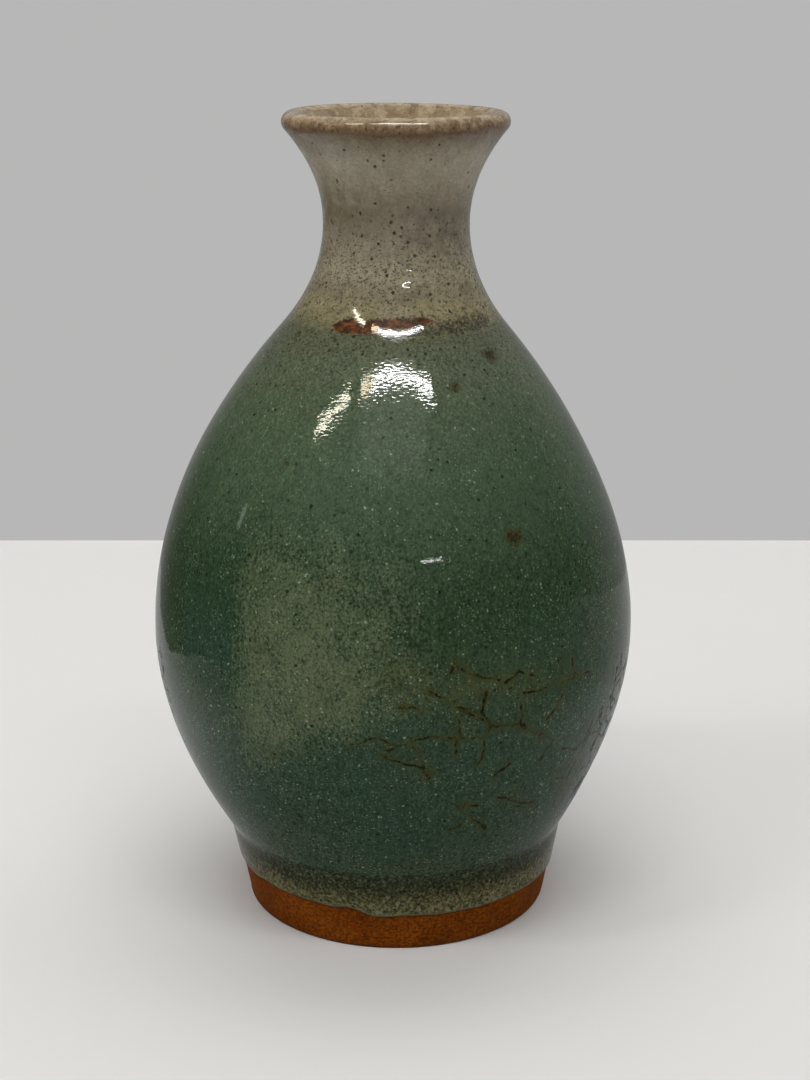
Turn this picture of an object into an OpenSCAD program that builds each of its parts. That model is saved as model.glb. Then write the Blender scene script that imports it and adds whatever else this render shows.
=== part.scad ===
// Sake bottle: a wheel-thrown stoneware tokkuri with a turned foot ring, a pear-shaped belly, a
// waisted neck and a flared mouth with a rounded lip. The clay is five stretches of one wall,
// and the glazes are thin shells fused onto it, each a solid of its own that meets its
// neighbours face to face. Everything is a solid of revolution about Z; the origin is at the
// centre of the foot's underside.

/* [Outline] */
// Height from the foot's underside to the top of the lip
total_h = 150; // [145:1:155]
// Largest radius, at the belly
belly_r = 45; // [42:0.5:48]
// Height of the largest radius
belly_z = 54.5; // [50:0.5:60]
// Radius at the root of the neck, where the shoulder is steepest
shoulder_r = 20.6; // [19:0.2:22]
// Height of the root of the neck
shoulder_z = 111.5; // [109:0.5:114]
// Smallest outer radius, at the waist of the neck
neck_r = 13; // [12.4:0.1:14]
// Height of the neck's waist
neck_z = 130.5; // [129:0.5:132]
// Outer radius of the mouth
mouth_r = 20; // [18.5:0.5:21]
// Radius of the rounded lip's section
lip_bead_r = 1.9; // [1.6:0.1:2.2]

/* [Foot] */
// Radius of the bare clay where it meets the table
foot_r = 28.9; // [27:0.1:30]
// Radius at the crease between foot and belly
crease_r = 32.4; // [31:0.1:34]
// Height of the crease
crease_z = 16; // [14:0.5:18]
// Height at which the glaze ends on the foot
glaze_hem_z = 7.5; // [5:0.5:10]
// Inner radius of the foot ring where it meets the table
foot_ring_inner_r = 22.5; // [20:0.5:24]
// Depth of the hollow under the foot
foot_recess = 5.5; // [4.5:0.5:6.5]
// Bevel on the two edges that meet the table
foot_bevel = 0.6; // [0.3:0.1:1]

/* [Inside] */
// Thickness of the floor
floor_t = 6; // [5:0.5:7]
// Radius of the round corner between floor and wall
floor_corner_r = 12; // [10:0.5:13]
// Inner radius at the belly
cavity_r = 39.7; // [38:0.1:40]
// Inner radius at the root of the neck
cavity_shoulder_r = 14; // [13.5:0.1:14.5]
// Inner radius of the straight throat
throat_r = 9; // [8.6:0.1:9.2]
// Height of the throat's lower end
throat_z = 126; // [125:0.5:128]
// Length of the straight throat
throat_length = 8; // [6:0.5:8]

/* [Glaze] */
// Thickness of the outer glazes
glaze_t = 0.5; // [0.3:0.1:0.6]
// Thickness of the glaze that lines the inside
liner_t = 0.3; // [0.2:0.1:0.4]
// Height of the lower edge of the iron-brown band
iron_band_z = 113; // [112:0.5:114]
// Width of the iron-brown band
iron_band_w = 3; // [2:0.5:5]

/* [Smoothness] */
// Largest height of one step along a curved outline
step = 2.5; // [1:0.5:3]
// Segments round the circumference
$fn = 120; // [72:24:180]

/* [Hidden] */

clay_color = [0.57, 0.31, 0.14];
foot_glaze_color = [0.47, 0.47, 0.35];
body_glaze_color = [0.24, 0.36, 0.27];
iron_color = [0.42, 0.22, 0.12];
neck_glaze_color = [0.60, 0.57, 0.50];
lip_glaze_color = [0.60, 0.48, 0.36];
inner_glaze_color = [0.55, 0.51, 0.43];

// Slopes, as radius gained per unit of height
belly_root_slope = 0.57;
shoulder_slope = -0.85;
flare_slope = 0.84;
cavity_root_slope = 0.42;

// Half the height over which the crease is rounded
crease_half = 1;

// Height of the throat's upper end, where the mouth starts to flare
throat_top_z = throat_z + throat_length;

// The glazed foot is a straight taper that stands one glaze thickness off the bare clay
glazed_foot_r = foot_r + glaze_t;
foot_slope = (crease_r - glazed_foot_r) / crease_z;

// The lip is a round bead, met by the neck's outer and inner flares where they touch it
flare_angle = atan(flare_slope);
lip_center = [mouth_r - lip_bead_r, total_h - lip_bead_r];
lip_outer = lip_center + lip_bead_r * [cos(flare_angle), -sin(flare_angle)];
lip_inner = lip_center - lip_bead_r * [cos(flare_angle), -sin(flare_angle)];

// The floor's corner is an arc from the flat floor up to the wall
floor_z = foot_recess + floor_t;
corner_angle = atan(cavity_root_slope);
corner_center_r = cavity_r - 23;
corner_center_z = floor_z + floor_corner_r;
corner_top = [
    corner_center_r + floor_corner_r * cos(corner_angle),
    corner_center_z - floor_corner_r * sin(corner_angle)
];

// Knots of the outer and inner outlines, each [height, radius, slope]
outer = [
    [0, glazed_foot_r, foot_slope],
    [crease_z - crease_half, crease_r - foot_slope * crease_half, foot_slope],
    [crease_z + crease_half, crease_r + belly_root_slope * crease_half, belly_root_slope],
    [belly_z, belly_r, 0],
    [shoulder_z, shoulder_r, shoulder_slope],
    [neck_z, neck_r, 0],
    [lip_outer[1], lip_outer[0], flare_slope]
];
inner = [
    [corner_top[1], corner_top[0], cavity_root_slope],
    [belly_z, cavity_r, 0],
    [shoulder_z, cavity_shoulder_r, shoulder_slope],
    [throat_z, throat_r, 0],
    [throat_top_z, throat_r, 0],
    [lip_inner[1], lip_inner[0], flare_slope]
];

// Radius at height z on the smooth cubic between two knots
function cubic_r(a, b, z) =
    let (h = b[0] - a[0], t = (z - a[0]) / h)
    (2 * t ^ 3 - 3 * t ^ 2 + 1) * a[1] + (t ^ 3 - 2 * t ^ 2 + t) * h * a[2]
    + (3 * t ^ 2 - 2 * t ^ 3) * b[1] + (t ^ 3 - t ^ 2) * h * b[2];

// Slope at height z on the same cubic
function cubic_slope(a, b, z) =
    let (h = b[0] - a[0], t = (z - a[0]) / h)
    6 * (t - t ^ 2) * (b[1] - a[1]) / h
    + (3 * t ^ 2 - 4 * t + 1) * a[2] + (3 * t ^ 2 - 2 * t) * b[2];

// Index of the knot that starts the stretch holding height z
function stretch(knots, z, i = 0) =
    i >= len(knots) - 2 || z <= knots[i + 1][0] ? i : stretch(knots, z, i + 1);

// Point of an outline at height z, moved the given depth inwards along the surface normal
function skin_point(knots, z, depth) =
    let (
        i = stretch(knots, z),
        m = cubic_slope(knots[i], knots[i + 1], z),
        n = sqrt(1 + m * m)
    )
    [cubic_r(knots[i], knots[i + 1], z) - depth / n, z + depth * m / n];

// Heights at which an outline from z0 up to z1 has to have a point: its ends and the knots between
function stops(knots, z0, z1) =
    concat([z0], [for (k = knots) if (k[0] > z0 && k[0] < z1) k[0]], [z1]);

// Outline from height z0 up to z1, at the given depth under the surface
function skin(knots, z0, z1, depth = 0) =
    let (s = stops(knots, z0, z1))
    concat(
        [for (
            j = [0:len(s) - 2],
            count = ceil((s[j + 1] - s[j]) / step),
            i = [0:count - 1]
        ) skin_point(knots, s[j] + (s[j + 1] - s[j]) * i / count, depth)],
        [skin_point(knots, z1, depth)]
    );

// Heights of the inner outline's ends
function inner_bottom() = inner[0][0];
function inner_top() = inner[len(inner) - 1][0];

// Rounded corner of the floor, from the flat up to the wall, the given depth under the surface
function floor_corner(depth = 0) =
    let (count = 8, r = floor_corner_r + depth)
    [for (i = [0:count])
        let (a = -90 + (90 - corner_angle) * i / count)
        [corner_center_r + r * cos(a), corner_center_z + r * sin(a)]];

// Bead of the lip, from the outer flare over the top to the inner flare, a point each 10 degrees
function lip_bead(depth = 0) =
    let (
        between = [for (a = [-30:10:130]) a],
        r = lip_bead_r - depth
    )
    [for (a = concat([-flare_angle], between, [180 - flare_angle]))
        lip_center + r * [cos(a), sin(a)]];

function reversed(points) = [for (i = [len(points) - 1:-1:0]) points[i]];

// Ring whose section is the closed outline
module turned(outline) rotate_extrude(convexity = 6) polygon(outline);

// One stretch of outer glaze between two heights
module glaze_ring(z0, z1)
    turned(concat(skin(outer, z0, z1), reversed(skin(outer, z0, z1, glaze_t))));

// Foot ring and floor, trimmed from one lump, with a hollow underside
module turned_foot()
    color(clay_color)
    turned(concat(
        [
            [0, foot_recess],
            [foot_ring_inner_r - foot_bevel, foot_recess],
            [foot_ring_inner_r, foot_bevel],
            [foot_ring_inner_r + foot_bevel, 0],
            [foot_r - foot_bevel, 0]
        ],
        skin(outer, foot_bevel, crease_z - crease_half, glaze_t),
        reversed(floor_corner(liner_t)),
        [[0, floor_z - liner_t]]
    ));

// Stretch of the clay wall between two heights, both on the curved part of the inside
module wall_ring(z0, z1, inner_z0)
    turned(concat(
        skin(outer, z0, z1, glaze_t),
        reversed(skin(inner, inner_z0, z1, -liner_t))
    ));

// Lower wall, from the crease over the foot out to the belly's largest radius
module belly_wall()
    color(clay_color)
    wall_ring(crease_z - crease_half, belly_z, inner_bottom());

// Upper wall, from the belly's largest radius in to the root of the neck
module shoulder_wall()
    color(clay_color)
    wall_ring(belly_z, shoulder_z, belly_z);

// Wall of the neck's waist, bored straight through at its upper end
module neck_wall()
    color(clay_color)
    turned(concat(
        skin(outer, shoulder_z, throat_top_z, glaze_t),
        [skin_point(inner, throat_top_z, -liner_t)],
        reversed(skin(inner, shoulder_z, throat_z, -liner_t))
    ));

// Wall of the flared mouth, with the lip's clay core
module mouth_wall()
    color(clay_color)
    turned(concat(
        skin(outer, throat_top_z, lip_outer[1], glaze_t),
        lip_bead(glaze_t),
        reversed(skin(inner, throat_top_z, inner_top(), -liner_t))
    ));

// Thin khaki glaze on the upper part of the foot, pooled in the crease
module foot_glaze()
    color(foot_glaze_color)
    glaze_ring(glaze_hem_z, crease_z + crease_half);

// Green glaze over the belly and shoulder
module body_glaze()
    color(body_glaze_color)
    glaze_ring(crease_z + crease_half, iron_band_z);

// Iron-brown band where the green and the pale glaze meet
module iron_band()
    color(iron_color)
    glaze_ring(iron_band_z, iron_band_z + iron_band_w);

// Pale glaze on the neck
module neck_glaze()
    color(neck_glaze_color)
    glaze_ring(iron_band_z + iron_band_w, lip_outer[1]);

// Tan glaze that wraps the rounded lip
module lip_glaze()
    color(lip_glaze_color)
    turned(concat(lip_bead(), reversed(lip_bead(glaze_t))));

// Glaze that lines the mouth, throat, cavity and floor
module inner_glaze()
    color(inner_glaze_color)
    turned(concat(
        [[0, floor_z]],
        floor_corner(),
        skin(inner, inner_bottom(), throat_z),
        skin(inner, throat_top_z, inner_top()),
        reversed(skin(inner, throat_top_z, inner_top(), -liner_t)),
        reversed(skin(inner, inner_bottom(), throat_z, -liner_t)),
        reversed(floor_corner(liner_t)),
        [[0, floor_z - liner_t]]
    ));

turned_foot();
belly_wall();
shoulder_wall();
neck_wall();
mouth_wall();
foot_glaze();
body_glaze();
iron_band();
neck_glaze();
lip_glaze();
inner_glaze();
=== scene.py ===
"""A wheel-thrown stoneware sake bottle with a green belly, an iron-brown band, a pale neck and a bare foot.

Outlines are in millimetres, as in the CAD source. Points are turned into metres when a mesh is made.
Azimuth 0 faces the camera, along -Y, and grows to the camera's right. Every visible piece is made here and
stands for the CAD node of the same shape.
"""

import math

import bpy
import numpy as np
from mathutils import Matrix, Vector


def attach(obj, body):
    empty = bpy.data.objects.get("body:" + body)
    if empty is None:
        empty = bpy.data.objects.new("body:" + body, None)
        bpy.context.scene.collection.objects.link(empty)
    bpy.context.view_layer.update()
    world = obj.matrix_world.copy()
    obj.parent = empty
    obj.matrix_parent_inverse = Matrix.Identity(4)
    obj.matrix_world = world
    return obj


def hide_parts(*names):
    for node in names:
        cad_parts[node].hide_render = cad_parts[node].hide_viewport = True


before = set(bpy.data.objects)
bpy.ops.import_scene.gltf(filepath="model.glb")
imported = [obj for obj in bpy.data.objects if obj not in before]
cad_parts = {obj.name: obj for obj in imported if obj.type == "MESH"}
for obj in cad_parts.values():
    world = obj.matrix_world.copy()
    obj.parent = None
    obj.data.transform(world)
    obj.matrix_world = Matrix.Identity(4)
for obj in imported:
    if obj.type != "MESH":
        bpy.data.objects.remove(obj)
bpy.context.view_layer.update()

MM = 0.001

# -------- outline

# Knots of the outer and inner outlines: height, radius, slope
OUTER = [
    (0, 29.4, 0.1875),
    (15, 32.2125, 0.1875),
    (17, 32.97, 0.57),
    (54.5, 45, 0),
    (111.5, 20.6, -0.85),
    (130.5, 13, 0),
    (146.878, 19.555, 0.84),
]
INNER = [
    (18.85, 27.76, 0.42),
    (54.5, 39.7, 0),
    (111.5, 14, -0.85),
    (126, 9, 0),
    (134, 9, 0),
    (149.322, 16.645, 0.84),
]

# The round lip joins the two outlines, and a rounded corner joins the inner one to the floor
LIP_CENTRE = (18.1, 148.1)
LIP_RADIUS = 1.9
LIP_START = -40.03
CORNER_CENTRE = (16.7, 23.5)
CORNER_RADIUS = 12
CORNER_END = -22.78
FLOOR_Z = 11.5

# Thickness of the outer glaze and of the liner
GLAZE = 0.5
LINER = 0.3

# Heights on the outside where one glaze gives way to the next
HEM_Z = 7.5
GREEN_Z = 17
IRON_Z = 113
PALE_Z = 116

# Underside of the foot
FOOT_INNER_R = 22.5
FOOT_RECESS = 5.5
BEVEL = 0.6

# Spacing of the points that the path is stored at
FINE = 0.05


def cubic(a, b, z):
    """Radius at height z on the smooth cubic between two knots."""
    h = b[0] - a[0]
    t = (z - a[0]) / h
    start = (2 * t**3 - 3 * t**2 + 1) * a[1] + (t**3 - 2 * t**2 + t) * h * a[2]
    end = (3 * t**2 - 2 * t**3) * b[1] + (t**3 - t**2) * h * b[2]
    return start + end


def follow(knots):
    """Closely spaced (radius, height) points of an outline, from its first knot to its last."""
    parts = []
    for a, b in zip(knots, knots[1:]):
        count = math.ceil((b[0] - a[0]) / FINE)
        z = np.linspace(a[0], b[0], count, endpoint=False)
        parts.append(np.column_stack([cubic(a, b, z), z]))
    parts.append(np.array([[knots[-1][1], knots[-1][0]]]))
    return np.vstack(parts)


def arc(centre, radius, start, end):
    """Closely spaced (radius, height) points of an arc, without its two ends. Angles are in degrees."""
    count = math.ceil(math.radians(abs(end - start)) * radius / FINE)
    a = np.radians(np.linspace(start, end, count + 1))[1:-1]
    return np.column_stack([centre[0] + radius * np.cos(a), centre[1] + radius * np.sin(a)])


def whole_path():
    """The skin's outline: up the outside, over the lip, down the inside and across the floor to the axis."""
    floor_r = np.arange(CORNER_CENTRE[0], 0, -FINE)
    return np.vstack([
        follow(OUTER),
        arc(LIP_CENTRE, LIP_RADIUS, LIP_START, 180 + LIP_START),
        follow(INNER)[::-1],
        arc(CORNER_CENTRE, CORNER_RADIUS, CORNER_END, -90),
        np.column_stack([floor_r, np.full(len(floor_r), FLOOR_Z)]),
        [[0, FLOOR_Z]],
    ])


PATH = whole_path()
PATH_U = np.concatenate([[0], np.cumsum(np.hypot(*np.diff(PATH, axis=0).T))])
TANGENT = np.gradient(PATH, PATH_U, axis=0)
TANGENT /= np.hypot(*TANGENT.T)[:, None]
TOP = int(np.argmax(PATH[:, 1]))


def u_outside(z):
    """Distance along the path to height z on the outside."""
    return np.interp(z, PATH[:TOP, 1], PATH_U[:TOP])


def u_inside(z):
    """Distance along the path to height z on the inside, above the floor."""
    return np.interp(-np.asarray(z, float), -PATH[TOP:, 1], PATH_U[TOP:])


U_LIP = u_outside(OUTER[-1][0])
U_MOUTH = u_inside(INNER[-1][0])
U_END = PATH_U[-1]

# A small blister low on the neck: distance along the path, azimuth in radians, and in mm the neck's radius
# there, the blister's height and its half widths
BLISTER_U = u_outside(120.2)
BLISTER_AZ = 0.14
BLISTER_NECK_R = 15
BLISTER_HEIGHT = 0.6
BLISTER_ACROSS = 1.2
BLISTER_ALONG = 1.0


def smoothstep(value, low, high):
    """0 below low, 1 above high, smooth between."""
    t = np.clip((value - low) / (high - low), 0, 1)
    return t * t * (3 - 2 * t)


def between(value, low, start, end, high):
    """1 from start to end, smoothly down to 0 at low and high."""
    return smoothstep(value, low, start) * (1 - smoothstep(value, end, high))


# -------- hand-made unevenness

# Sideways lean of the axis at a few heights
LEAN_Z = np.array([0, 18, 30, 60, 90, 112, 122, 140, 150.0])
LEAN_X = np.array([0.3, 0.0, -0.4, -0.28, -0.65, -0.15, 0.3, 0.45, 0.3])

# Extra radius at a few heights
FULL_Z = np.array([0, 18, 30, 60, 90, 104, 115, 130, 142, 150.0])
FULL_R = np.array([0, 0.05, 0.1, 0.18, 0.15, 0.33, 0.3, 0.27, 0.38, 0.45])


def smooth_table(heights, values):
    """Values at a few heights, smoothed along the height."""
    z = np.arange(-20, 171, 0.5)
    kernel = np.exp(-0.5 * (np.arange(-40, 41) * 0.5 / 4) ** 2)
    kernel /= kernel.sum()
    padded = np.pad(np.interp(z, heights, values), 40, mode="edge")
    return z, np.convolve(padded, kernel, mode="valid")


LEAN = smooth_table(LEAN_Z, LEAN_X)
FULL = smooth_table(FULL_Z, FULL_R)


def relief(u, az):
    """Throwing rings, soft swells and one small blister of the skin, in mm."""
    rings = 0.0035 * np.sin(2 * np.pi * u / 6.7 + 0.8 * np.sin(az + 1))
    rings += 0.0018 * np.sin(2 * np.pi * u / 3.7 + 1.3 + 0.6 * np.sin(2 * az))
    swell = 0.05 * np.sin(u / 17 + az) + 0.04 * np.sin(u / 23 - 2 * az + 2)
    dents = 0.012 * np.sin(u / 5.3 + 3 * az) * np.sin(u / 11 - 4 * az + 1)
    turn = az - BLISTER_AZ
    across = np.arctan2(np.sin(turn), np.cos(turn)) * BLISTER_NECK_R / BLISTER_ACROSS
    along = (u - BLISTER_U) / BLISTER_ALONG
    blister = BLISTER_HEIGHT * np.exp(-0.5 * (across**2 + along**2))
    return rings + swell + dents + blister


def skin(u, az, depth=0.0):
    """Points of the skin at distance u along the path, at azimuth az and a depth under the surface, in mm."""
    u, az, depth = np.broadcast_arrays(u, az, depth)
    r = np.interp(u, PATH_U, PATH[:, 0])
    z = np.interp(u, PATH_U, PATH[:, 1])
    out = relief(u, az) * smoothstep(r, 0, 10) - depth
    r = r + np.interp(u, PATH_U, TANGENT[:, 1]) * out
    z = z - np.interp(u, PATH_U, TANGENT[:, 0]) * out
    r = r + np.interp(z, *FULL) * smoothstep(r, 0, 10)
    x = r * np.sin(az) + np.interp(z, *LEAN)
    return np.stack([x, -r * np.cos(az), z], -1)


def unit(v):
    """Vectors scaled to length 1."""
    return v / np.maximum(np.linalg.norm(v, axis=-1, keepdims=True), 1e-12)


# -------- mesh making


def put(name, data):
    """A new object in the scene."""
    item = bpy.data.objects.new(name, data)
    bpy.context.scene.collection.objects.link(item)
    return item


def around(count):
    """Evenly spaced azimuths of a full turn, in radians, starting at the back."""
    return np.linspace(-np.pi, np.pi, count, endpoint=False)


def around_finer(coarse, fine, start, end):
    """Azimuths of a full turn, in radians, closer together between two azimuths in degrees."""
    inside = np.arange(start, end, fine)
    outside = np.linspace(end, start + 360, math.ceil((start + 360 - end) / coarse), endpoint=False)
    return np.radians(np.concatenate([inside, outside]))


def steps(start, end, size):
    """Distances from start to end, in equal steps of about the given size."""
    return np.linspace(start, end, max(2, math.ceil(abs(end - start) / size) + 1))


def runs(places, sizes):
    """Distances through several places, with a step size of its own between each two."""
    parts = [steps(a, b, size)[:-1] for a, b, size in zip(places, places[1:], sizes)]
    return np.append(np.concatenate(parts), places[-1])


def skin_strip(u, az, depth=0.0):
    """Rows of skin points with their normals. u has a distance for each row, or for each row and column."""
    u = np.asarray(u, float)
    if u.ndim == 1:
        u = u[:, None]
    u = np.broadcast_to(u, (len(u), len(az)))
    way = np.sign(u[-1, 0] - u[0, 0])
    along = (skin(u + 0.25, az, depth) - skin(u - 0.25, az, depth)) * way
    turn = skin(u, az + 0.002, depth) - skin(u, az - 0.002, depth)
    return {"p": skin(u, az, depth), "n": unit(np.cross(turn, along)), "u": u, "depth": depth}


def free_strip(p, u=None):
    """Rows of any points, with normals measured from the points themselves."""
    along = np.gradient(p, axis=0)
    turn = np.roll(p, -1, axis=1) - np.roll(p, 1, axis=1)
    flat = np.linalg.norm(turn, axis=-1, keepdims=True) < 1e-9
    normal = np.where(flat, [0.0, 0.0, 1.0], unit(np.cross(turn, along)))
    return {"p": p, "n": normal, "u": u, "depth": 0.0}


def cut_strip(u, az, depth_start, depth_end):
    """The narrow face across the clay or glaze at one distance along the path."""
    a = skin(u, az, depth_start)
    b = skin(u, az, depth_end)
    where = np.broadcast_to(u, (2, len(az)))
    return free_strip(np.stack([a, b]), where)


def turned_rows(points, az):
    """Rows of points from (radius, height) pairs, on the leaning axis."""
    rows = []
    for r, z in points:
        x = r * np.sin(az) + np.interp(z, *LEAN)
        rows.append(np.stack([x, -r * np.cos(az), np.full(len(az), float(z))], -1))
    return np.array(rows)


def filled(strip):
    """A strip's distances along the path, or zeros for a strip that isn't on the path."""
    if strip["u"] is None:
        return np.zeros(strip["p"].shape[:2])
    return np.broadcast_to(strip["u"], strip["p"].shape[:2])


def faces_of(strips, index, closed):
    """Corners of the faces between rows of points, and the normals there. index numbers the points."""
    count = len(index)
    faces, normals = [], []
    row = 0
    for strip in strips:
        n = strip["n"]
        for i in range(len(n) - 1):
            low = index[row % count]
            high = index[(row + 1) % count]
            corners = np.stack([low, np.roll(low, -1), np.roll(high, -1), high], -1)
            pointing = np.stack([n[i], np.roll(n[i], -1, 0), np.roll(n[i + 1], -1, 0), n[i + 1]], 1)
            if not closed and row == 0:
                corners, pointing = corners[:, [0, 2, 3]], pointing[:, [0, 2, 3]]
            elif not closed and row == count - 2:
                corners, pointing = corners[:, :3], pointing[:, :3]
            faces += corners.tolist()
            normals.append(pointing.reshape(-1, 3))
            row += 1
    return faces, np.concatenate(normals).tolist()


def build(name, node, az, strips, closed=True, marks=None):
    """A closed mesh from strips that follow each other round the section. The first and last rows of an open
    section lie on the axis. marks is a function of distance, azimuth and depth that gives named values."""
    rows = [strips[0]["p"]] + [s["p"][1:] for s in strips[1:]]
    us = [filled(strips[0])] + [filled(s)[1:] for s in strips[1:]]
    p = np.concatenate(rows)
    u = np.concatenate(us)
    depth = np.concatenate([np.full(v.shape, s["depth"]) for s, v in zip(strips, us)])
    if closed:
        p, u, depth = p[:-1], u[:-1], depth[:-1]
    index = np.arange(u.size).reshape(u.shape)
    if not closed:
        index[0] = index[0, 0]
        index[-1] = index[-1, 0]
    faces, normals = faces_of(strips, index, closed)
    used, compact = np.unique(index, return_inverse=True)
    compact = compact.reshape(-1)
    faces = [[int(compact[v]) for v in f] for f in faces]
    mesh = bpy.data.meshes.new(name)
    mesh.from_pydata((p.reshape(-1, 3)[used] * MM).tolist(), [], faces)
    mesh.shade_smooth()
    mesh.normals_split_custom_set(normals)
    if marks is not None:
        for key, value in marks(u, np.broadcast_to(az, u.shape), depth).items():
            layer = mesh.attributes.new(key, "FLOAT", "POINT")
            layer.data.foreach_set("value", value.reshape(-1)[used].astype(np.float32))
    piece = put(name, mesh)
    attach(piece, "root")
    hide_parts(node)
    return piece


def glaze_ring(name, az, u, marks=None, inside_step=1.5):
    """A closed ring of glaze over the given distances along the path."""
    back = steps(u[-1], u[0], inside_step)
    strips = [
        skin_strip(u, az),
        cut_strip(u[-1], az, 0.0, GLAZE),
        skin_strip(back, az, GLAZE),
        cut_strip(u[0], az, GLAZE, 0.0),
    ]
    return build(name, name, az, strips, marks=marks)


# -------- listed features of the glaze


def height_at(u):
    """Height of the skin at distance u along the path."""
    return np.interp(u, PATH_U, PATH[:, 1])


def radius_at(u):
    """Radius of the skin at distance u along the path."""
    return np.interp(u, PATH_U, PATH[:, 0])


def degrees_of(az):
    """Azimuths in degrees, from -180 to 180."""
    return (np.degrees(az) + 180) % 360 - 180


def blob(u, az, at_az, at_z, size_az, size_z):
    """A soft round spot. Place is in degrees and mm, size in mm."""
    turn = (np.degrees(az) - at_az + 180) % 360 - 180
    across = np.radians(turn) * radius_at(u)
    up = u - u_outside(at_z)
    return np.exp(-0.5 * ((across / size_az) ** 2 + (up / size_z) ** 2))


# Brown crazing lines on the belly, each through points of (azimuth in degrees, height in mm)
CRACKS = [
    [(8, 57), (12, 55), (17, 52.5), (23, 49.5), (30, 48.5), (36.5, 45.5)],
    [(5, 48), (9, 48.6), (14, 48.2)],
    [(22, 49.5), (21, 46), (20, 42)],
    [(4, 48.5), (5.5, 46), (8.5, 40)],
    [(20.5, 56), (20.2, 52.5), (22, 49.5)],
    [(15, 60.5), (18, 59), (24.5, 58)],
    [(13.5, 62), (12.7, 60)],
    [(30, 54.5), (38, 54.6), (45.5, 55), (50.5, 54.5)],
    [(44.5, 58.5), (45, 55)],
    [(30, 52.5), (29.5, 48.5)],
    [(24, 39), (28.5, 41)],
    [(17.5, 33.5), (21.5, 33)],
    [(14.5, 28), (18.5, 29)],
    [(34, 31), (41, 30.5)],
    [(-9, 47), (-4, 48.5), (1, 47.2)],
    [(37, 40), (40, 43.5)],
    [(14.6, 52.4), (14.9, 48), (14, 44)],
    [(35, 47), (35.6, 43.9)],
    [(25.8, 57.1), (29, 58.5), (33, 57.4)],
    [(-1, 46), (3.5, 47.6)],
    [(1.6, 54.3), (4.1, 54.4), (6.5, 53.6)],
    [(14.8, 48.1), (18, 47.3), (20.8, 47.5)],
    [(41.7, 52.4), (39.3, 49.9), (36.6, 48.2)],
    [(-2.3, 44.8), (3, 43.5), (10, 41.7)],
    [(20, 31.1), (26.7, 26)],
    [(26.8, 33.9), (36.2, 31.1)],
    [(43.6, 34.9), (50, 33), (56, 30.1)],
    [(44, 41.3), (50, 39), (54, 41.4), (62, 40)],
    [(54.7, 44.8), (52, 35.6), (47.6, 29.3)],
    [(-33, 44), (-27, 43.2)],
    [(69, 52.5), (66.5, 50), (64.5, 47), (62, 43), (61, 39), (60, 36), (57.5, 33.5), (56, 30), (53.5, 27)],
    [(54, 39), (55, 42), (66, 37.5)],
    [(41.5, 36), (44.5, 36.5), (48, 37)],
    [(36, 31), (40.5, 30)],
    [(56, 35), (55, 33), (50.5, 30)],
    [(66, 57), (63, 53), (62, 49)],
    [(68, 34), (64, 38), (61, 39)],
]

# Rusty blots where the crazing lines meet: azimuth, height, radius in mm
BLOTS = [
    (17, 52.5, 1.1),
    (23, 49.5, 0.9),
    (30, 48.5, 1.0),
    (20.5, 55, 0.9),
    (13.5, 61, 1.0),
    (18, 59.3, 0.8),
    (14, 48.2, 0.8),
    (36, 46, 0.7),
    (45, 55.2, 0.8),
    (8.2, 40.6, 0.6),
    (17.5, 33.5, 0.9),
    (40, 59, 0.8),
    (2.5, 54.5, 0.8),
]

# Brown spots burnt through the green: azimuth, height, radius in mm, strength
SPOTS = [
    (32, 81, 1.5, 1.0),
    (24.5, 105, 1.0, 0.9),
    (48, 109, 1.3, 1.1),
    (20, 109, 0.6, 0.6),
    (33, 97.5, 0.8, 0.7),
    (-32, 93, 0.8, 0.5),
    (-31, 100.5, 0.8, 0.5),
    (-38, 82, 0.7, 0.5),
    (20, 75.5, 0.5, 0.6),
    (-55, 112, 0.7, 0.8),
    (60, 59, 0.9, 0.6),
    (-8, 82, 0.5, 0.35),
    (112, 88, 1.2, 0.8),
    (168, 72, 1.0, 0.7),
    (-118, 96, 1.1, 0.8),
    (-150, 64, 0.8, 0.6),
]


def crack_distance(u, az):
    """Distance in mm from each point to the nearest crazing line, at most 3, with the lines made unsteady."""
    az = np.radians(degrees_of(az))
    a = az + (0.22 * np.sin(u / 0.9 + 3) + 0.12 * np.sin(u / 0.41)) / np.maximum(radius_at(u), 1)
    v = u + 0.15 * np.sin(az * 45 / 1.3) + 0.11 * np.sin(az * 45 / 0.43 + 2)
    best = np.full(u.shape, 3.0)
    scale = radius_at(u)
    for line in CRACKS:
        for (a0, z0), (a1, z1) in zip(line, line[1:]):
            x0, y0 = (math.radians(a0) - a) * scale, u_outside(z0) - v
            x1, y1 = (math.radians(a1) - a) * scale, u_outside(z1) - v
            dx, dy = x1 - x0, y1 - y0
            t = np.clip(-(x0 * dx + y0 * dy) / (dx * dx + dy * dy), 0, 1)
            best = np.minimum(best, np.hypot(x0 + t * dx, y0 + t * dy))
    return best


def strongest(u, az, places, squash):
    """The strongest of many soft spots. Each has its azimuth, height, size in mm and strength."""
    best = np.zeros(u.shape)
    for at_az, at_z, size, strength in places:
        best = np.maximum(best, strength * blob(u, az, at_az, at_z, size, size * squash))
    return best


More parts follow.
